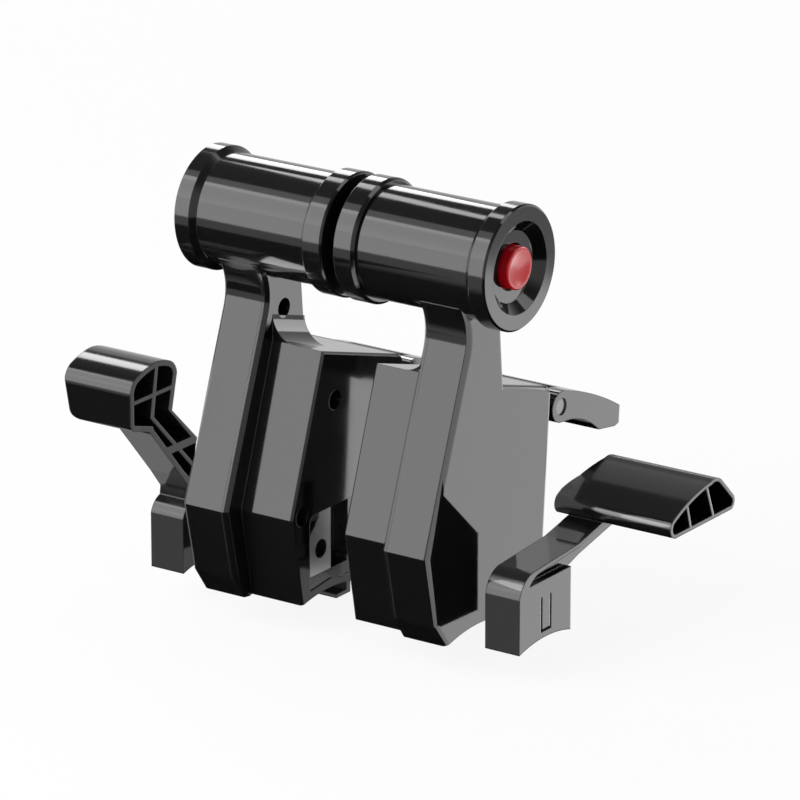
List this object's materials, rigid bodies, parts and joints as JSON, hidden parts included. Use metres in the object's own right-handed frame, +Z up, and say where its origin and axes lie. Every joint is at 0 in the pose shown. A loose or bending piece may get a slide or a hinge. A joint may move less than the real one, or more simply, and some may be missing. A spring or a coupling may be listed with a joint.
{
  "type": "throttle quadrant",
  "caption": "Twin thrust levers with reverser paddles and thumb buttons, a speed brake lever and a flaps lever, made to snap onto a desktop quadrant.",
  "frame": {"origin": "centre plane between the thrust levers, above the lever shaft, at the foot of the side levers' blocks", "axes": "+X to the user's right across the quadrant, +Y forward away from the user, +Z up"},
  "size_m": [0.1758, 0.1189, 0.1444],
  "materials": {
    "housing_plastic": "fine moulded texture",
    "lever_plastic": "fine moulded texture",
    "paddle_plastic": "fine moulded texture",
    "carrier_plastic": "plain moulded",
    "switch_plastic": "plain moulded",
    "button_red": "satin",
    "screw_steel": "black oxide",
    "spring_steel": "drawn wire",
    "clip_steel": "rolled strip",
    "bracket_steel": "black coated",
    "board_laminate": "lacquered laminate",
    "lead_sheath": "smooth sheath"
  },
  "bodies": {
    "left_throttle": {"left_outer_shell": "housing_plastic", "left_inner_shell": "housing_plastic", "left_grip_bezel": "housing_plastic", "left_grip_cap": "housing_plastic", "left_switch_cup": "carrier_plastic", "left_button_switch": "switch_plastic", "left_button_spring": "spring_steel", "left_shell_screws": "screw_steel", "left_stub_carrier": "carrier_plastic", "left_stub_clip": "clip_steel", "left_contact_board": "board_laminate", "left_button_lead": "lead_sheath", "left_reverser_bracket": "bracket_steel", "left_reverser_pin": "screw_steel", "left_reverser_spring": "spring_steel"},
    "left_button": {"left_button": "button_red"},
    "left_reverser": {"left_reverser_paddle": "paddle_plastic"},
    "right_throttle": {"right_outer_shell": "housing_plastic", "right_inner_shell": "housing_plastic", "right_grip_bezel": "housing_plastic", "right_grip_cap": "housing_plastic", "right_switch_cup": "carrier_plastic", "right_button_switch": "switch_plastic", "right_button_spring": "spring_steel", "right_shell_screws": "screw_steel", "right_stub_carrier": "carrier_plastic", "right_stub_clip": "clip_steel", "right_contact_board": "board_laminate", "right_button_lead": "lead_sheath", "right_reverser_bracket": "bracket_steel", "right_reverser_pin": "screw_steel", "right_reverser_spring": "spring_steel"},
    "right_button": {"right_button": "button_red"},
    "right_reverser": {"right_reverser_paddle": "paddle_plastic"},
    "speed_brake": {"speed_brake_lever": "lever_plastic"},
    "flaps": {"flaps_lever": "lever_plastic"}
  },
  "joints": [
    {"name": "right_throttle_swing", "type": "hinge", "parent": "left_throttle", "child": "right_throttle", "pos_m": [0, 0, -0.058], "axis": [1, 0, 0], "range_deg": [-30, 30]},
    {"name": "speed_brake_swing", "type": "hinge", "parent": "left_throttle", "child": "speed_brake", "pos_m": [0, 0, -0.058], "axis": [1, 0, 0], "range_deg": [-30, 30]},
    {"name": "flaps_swing", "type": "hinge", "parent": "left_throttle", "child": "flaps", "pos_m": [0, 0, -0.058], "axis": [1, 0, 0], "range_deg": [-30, 30]},
    {"name": "left_reverser_pull", "type": "hinge", "parent": "left_throttle", "child": "left_reverser", "pos_m": [-0.0275, 0.048, 0.0573], "axis": [1, 0, 0], "range_deg": [0, 60], "stiffness_Nm_per_rad": 0.02, "springref_deg": -28.65},
    {"name": "left_button_press", "type": "slide", "parent": "left_throttle", "child": "left_button", "axis": [1, 0, 0], "range_m": [0, 0.0025], "stiffness_N_per_m": 350, "springref_m": -0.003, "deforming": ["left_button_spring"]},
    {"name": "right_reverser_pull", "type": "hinge", "parent": "right_throttle", "child": "right_reverser", "pos_m": [0.0275, 0.048, 0.0573], "axis": [1, 0, 0], "range_deg": [0, 60], "stiffness_Nm_per_rad": 0.02, "springref_deg": -28.65},
    {"name": "right_button_press", "type": "slide", "parent": "right_throttle", "child": "right_button", "axis": [-1, 0, 0], "range_m": [0, 0.0025], "stiffness_N_per_m": 350, "springref_m": -0.003, "deforming": ["right_button_spring"]}
  ]
}
